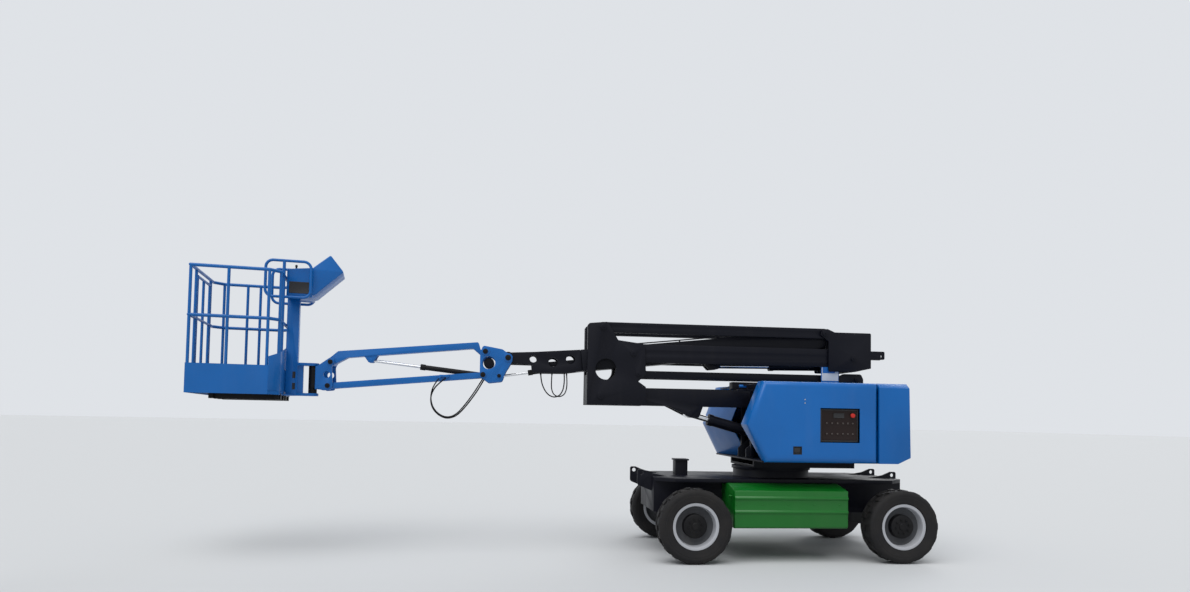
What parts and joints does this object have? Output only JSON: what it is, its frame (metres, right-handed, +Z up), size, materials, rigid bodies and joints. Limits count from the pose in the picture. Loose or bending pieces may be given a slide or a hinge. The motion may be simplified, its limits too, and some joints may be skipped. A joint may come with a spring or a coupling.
{
  "type": "articulating boom lift",
  "caption": "Self-propelled articulating boom lift: slewing turntable, double parallelogram riser, telescopic boom, levelled jib and a turning work platform.",
  "frame": {"origin": "on the ground under the middle of the whole machine's length, on its centre plane", "axes": "+X towards the platform end, +Y to the machine's left, +Z up"},
  "size_m": [7.3754, 1.86, 2.9743],
  "materials": {
    "blue_paint": "semi-gloss blue enamel",
    "navy_paint": "semi-gloss navy-black enamel",
    "green_paint": "semi-gloss green enamel",
    "black_paint": "satin black enamel",
    "silver_paint": "matt silver enamel",
    "chrome_rod": "polished chrome plate",
    "tyre_rubber": "dull black rubber",
    "weight_iron": "cast iron in blue enamel",
    "console_plastic": "matt black moulding",
    "hose_rubber": "satin black hose"
  },
  "bodies": {
    "chassis": {"chassis_frame": "navy_paint", "side_boxes": "green_paint"},
    "steer_left": {"steer_knuckle_left": "black_paint"},
    "steer_right": {"steer_knuckle_right": "black_paint"},
    "wheel_front_left": {"tyre_front_left": "tyre_rubber", "rim_front_left": "silver_paint"},
    "wheel_front_right": {"tyre_front_right": "tyre_rubber", "rim_front_right": "silver_paint"},
    "wheel_rear_left": {"tyre_rear_left": "tyre_rubber", "rim_rear_left": "silver_paint"},
    "wheel_rear_right": {"tyre_rear_right": "tyre_rubber", "rim_rear_right": "silver_paint"},
    "turntable": {"turntable_frame": "navy_paint", "counterweight": "weight_iron", "battery_pack": "console_plastic", "drive_pack": "black_paint", "ground_control": "console_plastic", "sign_holder": "blue_paint"},
    "left_cover": {"hood_left": "blue_paint"},
    "right_cover": {"hood_right": "blue_paint"},
    "lower_arm": {"lower_arm": "navy_paint"},
    "lower_link": {"lower_link": "navy_paint"},
    "knuckle": {"knuckle": "navy_paint"},
    "upper_arm": {"upper_arm": "navy_paint"},
    "upper_link": {"upper_link": "navy_paint"},
    "upright": {"rear_upright": "navy_paint"},
    "boom": {"boom_outer": "navy_paint"},
    "fly": {"fly_boom": "navy_paint", "head_hose_long": "hose_rubber", "head_hose_short": "hose_rubber"},
    "bracket": {"jib_bracket": "blue_paint"},
    "jib_arm": {"jib_arm": "blue_paint"},
    "jib_link": {"jib_link": "blue_paint", "jib_hose_long": "hose_rubber", "jib_hose_short": "hose_rubber"},
    "jib_head": {"jib_head": "blue_paint", "rotator": "black_paint"},
    "platform": {"platform_support": "blue_paint", "platform_floor": "black_paint", "platform_basket": "blue_paint", "control_console": "blue_paint"},
    "gate": {"platform_gate": "blue_paint"},
    "tower_barrel": {"tower_barrel": "navy_paint"},
    "tower_rod": {"tower_rod": "chrome_rod"},
    "boom_barrel": {"boom_barrel": "navy_paint"},
    "boom_rod": {"boom_rod": "chrome_rod"},
    "level_barrel": {"level_barrel": "black_paint"},
    "level_rod": {"level_rod": "chrome_rod"},
    "jib_rod": {"jib_rod": "chrome_rod"},
    "jib_barrel": {"jib_barrel": "black_paint"}
  },
  "joints": [
    {"name": "slew", "type": "hinge", "parent": "chassis", "child": "turntable", "pos_m": [-2.28569, 0, 0.88], "axis": [0, 0, 1], "range_deg": [-177.5, 177.5]},
    {"name": "steer_left", "type": "hinge", "parent": "chassis", "child": "steer_left", "pos_m": [-3.32769, 0.6, 0.36], "axis": [0, 0, 1], "range_deg": [-35, 35]},
    {"name": "steer_right", "type": "hinge", "parent": "chassis", "child": "steer_right", "pos_m": [-3.32769, -0.6, 0.36], "axis": [0, 0, 1], "range_deg": [-35, 35]},
    {"name": "wheel_front_left", "type": "hinge", "parent": "chassis", "child": "wheel_front_left", "pos_m": [-1.24369, 0.81, 0.36], "axis": [0, 1, 0], "continuous": true},
    {"name": "wheel_front_right", "type": "hinge", "parent": "chassis", "child": "wheel_front_right", "pos_m": [-1.24369, -0.81, 0.36], "axis": [0, 1, 0], "continuous": true},
    {"name": "wheel_rear_left", "type": "hinge", "parent": "steer_left", "child": "wheel_rear_left", "pos_m": [-3.32769, 0.81, 0.36], "axis": [0, 1, 0], "continuous": true},
    {"name": "wheel_rear_right", "type": "hinge", "parent": "steer_right", "child": "wheel_rear_right", "pos_m": [-3.32769, -0.81, 0.36], "axis": [0, 1, 0], "continuous": true},
    {"name": "left_cover", "type": "hinge", "parent": "turntable", "child": "left_cover", "pos_m": [-2.28569, 0.205, 1.746], "axis": [1, 0, 0], "range_deg": [0, 60]},
    {"name": "right_cover", "type": "hinge", "parent": "turntable", "child": "right_cover", "pos_m": [-2.28569, -0.205, 1.746], "axis": [-1, 0, 0], "range_deg": [0, 60]},
    {"name": "riser", "type": "hinge", "parent": "turntable", "child": "lower_arm", "pos_m": [-2.79569, 0, 1.615], "axis": [0, -1, 0], "range_deg": [0, 62]},
    {"name": "lower_link", "type": "hinge", "parent": "turntable", "child": "lower_link", "pos_m": [-3.19069, 0, 1.85], "axis": [0, -1, 0], "range_deg": [0, 62]},
    {"name": "knuckle", "type": "hinge", "parent": "lower_arm", "child": "knuckle", "pos_m": [-0.38569, 0, 1.615], "axis": [0, -1, 0], "range_deg": [-62, 0]},
    {"name": "upper_arm", "type": "hinge", "parent": "knuckle", "child": "upper_arm", "pos_m": [-0.72569, 0, 2.07], "axis": [0, 1, 0], "range_deg": [0, 62]},
    {"name": "upper_link", "type": "hinge", "parent": "knuckle", "child": "upper_link", "pos_m": [-0.40569, 0, 2.335], "axis": [0, 1, 0], "range_deg": [0, 62]},
    {"name": "upright", "type": "hinge", "parent": "upper_arm", "child": "upright", "pos_m": [-3.13569, 0, 2.07], "axis": [0, 1, 0], "range_deg": [-62, 0]},
    {"name": "tower_cylinder", "type": "hinge", "parent": "turntable", "child": "tower_barrel", "pos_m": [-2.63569, 0, 1.105], "axis": [0, -1, 0], "range_deg": [0, 54.5]},
    {"name": "tower_stroke", "type": "slide", "parent": "tower_barrel", "child": "tower_rod", "axis": [0.9662, 0, 0.2579], "range_m": [0, 0.545]},
    {"name": "boom", "type": "hinge", "parent": "upright", "child": "boom", "pos_m": [-2.90569, 0, 2.28], "axis": [0, -1, 0], "range_deg": [0, 70]},
    {"name": "extend", "type": "slide", "parent": "boom", "child": "fly", "axis": [0.9941, 0, -0.1082], "range_m": [0, 1.3]},
    {"name": "bracket_level", "type": "hinge", "parent": "fly", "child": "bracket", "pos_m": [0.57556, 0, 1.99173], "axis": [0, -1, 0], "range_deg": [-70, 0]},
    {"name": "boom_cylinder", "type": "hinge", "parent": "upright", "child": "boom_barrel", "pos_m": [-2.90569, 0, 1.985], "axis": [0, -1, 0], "range_deg": [0, 64]},
    {"name": "boom_stroke", "type": "slide", "parent": "boom_barrel", "child": "boom_rod", "axis": [0.9999, 0, -0.0159], "range_m": [0, 0.345]},
    {"name": "level_cylinder", "type": "hinge", "parent": "fly", "child": "level_barrel", "pos_m": [-0.03538, 0, 1.90531], "axis": [0, -1, 0], "range_deg": [0, 2.5]},
    {"name": "level_stroke", "type": "slide", "parent": "level_barrel", "child": "level_rod", "axis": [0.9888, 0, -0.1489], "range_m": [-0.26, 0]},
    {"name": "jib", "type": "hinge", "parent": "bracket", "child": "jib_arm", "pos_m": [0.81056, 0, 2.05073], "axis": [0, -1, 0], "range_deg": [-55, 75]},
    {"name": "jib_link", "type": "hinge", "parent": "bracket", "child": "jib_link", "pos_m": [0.83156, 0, 1.80873], "axis": [0, -1, 0], "range_deg": [-55, 75]},
    {"name": "jib_head", "type": "hinge", "parent": "jib_arm", "child": "jib_head", "pos_m": [2.36856, 0, 1.90373], "axis": [0, -1, 0], "range_deg": [-75, 55]},
    {"name": "jib_cylinder", "type": "hinge", "parent": "jib_arm", "child": "jib_rod", "pos_m": [1.97856, 0, 1.93473], "axis": [0, -1, 0], "range_deg": [-2.5, 2]},
    {"name": "jib_stroke", "type": "slide", "parent": "jib_rod", "child": "jib_barrel", "axis": [-0.994, 0, -0.1092], "range_m": [-0.19, 0.26]},
    {"name": "platform_turn", "type": "hinge", "parent": "jib_head", "child": "platform", "pos_m": [2.55956, 0, 1.72], "axis": [0, 0, 1], "range_deg": [-89.6, 70.4]},
    {"name": "gate", "type": "hinge", "parent": "platform", "child": "gate", "pos_m": [3.54584, 0.45891, 1.7], "axis": [0, 0, -1], "range_deg": [0, 90]}
  ],
  "couplings": [
    {"joint": "steer_right", "follows": "steer_left", "ratio": 1},
    {"joint": "lower_link", "follows": "riser", "ratio": 1},
    {"joint": "knuckle", "follows": "riser", "ratio": -1},
    {"joint": "upper_arm", "follows": "riser", "ratio": 1},
    {"joint": "upper_link", "follows": "riser", "ratio": 1},
    {"joint": "upright", "follows": "riser", "ratio": -1},
    {"joint": "tower_cylinder", "follows": "riser", "ratio": 0.87},
    {"joint": "tower_stroke", "follows": "riser", "m_per_rad": 0.5},
    {"joint": "bracket_level", "follows": "boom", "ratio": -1},
    {"joint": "boom_cylinder", "follows": "boom", "ratio": 0.9},
    {"joint": "boom_stroke", "follows": "boom", "m_per_rad": 0.26},
    {"joint": "level_cylinder", "follows": "boom", "ratio": 0.029},
    {"joint": "level_stroke", "follows": "boom", "m_per_rad": -0.196},
    {"joint": "jib_link", "follows": "jib", "ratio": 1},
    {"joint": "jib_head", "follows": "jib", "ratio": -1},
    {"joint": "jib_cylinder", "follows": "jib", "ratio": -0.03},
    {"joint": "jib_stroke", "follows": "jib", "m_per_rad": 0.193}
  ]
}
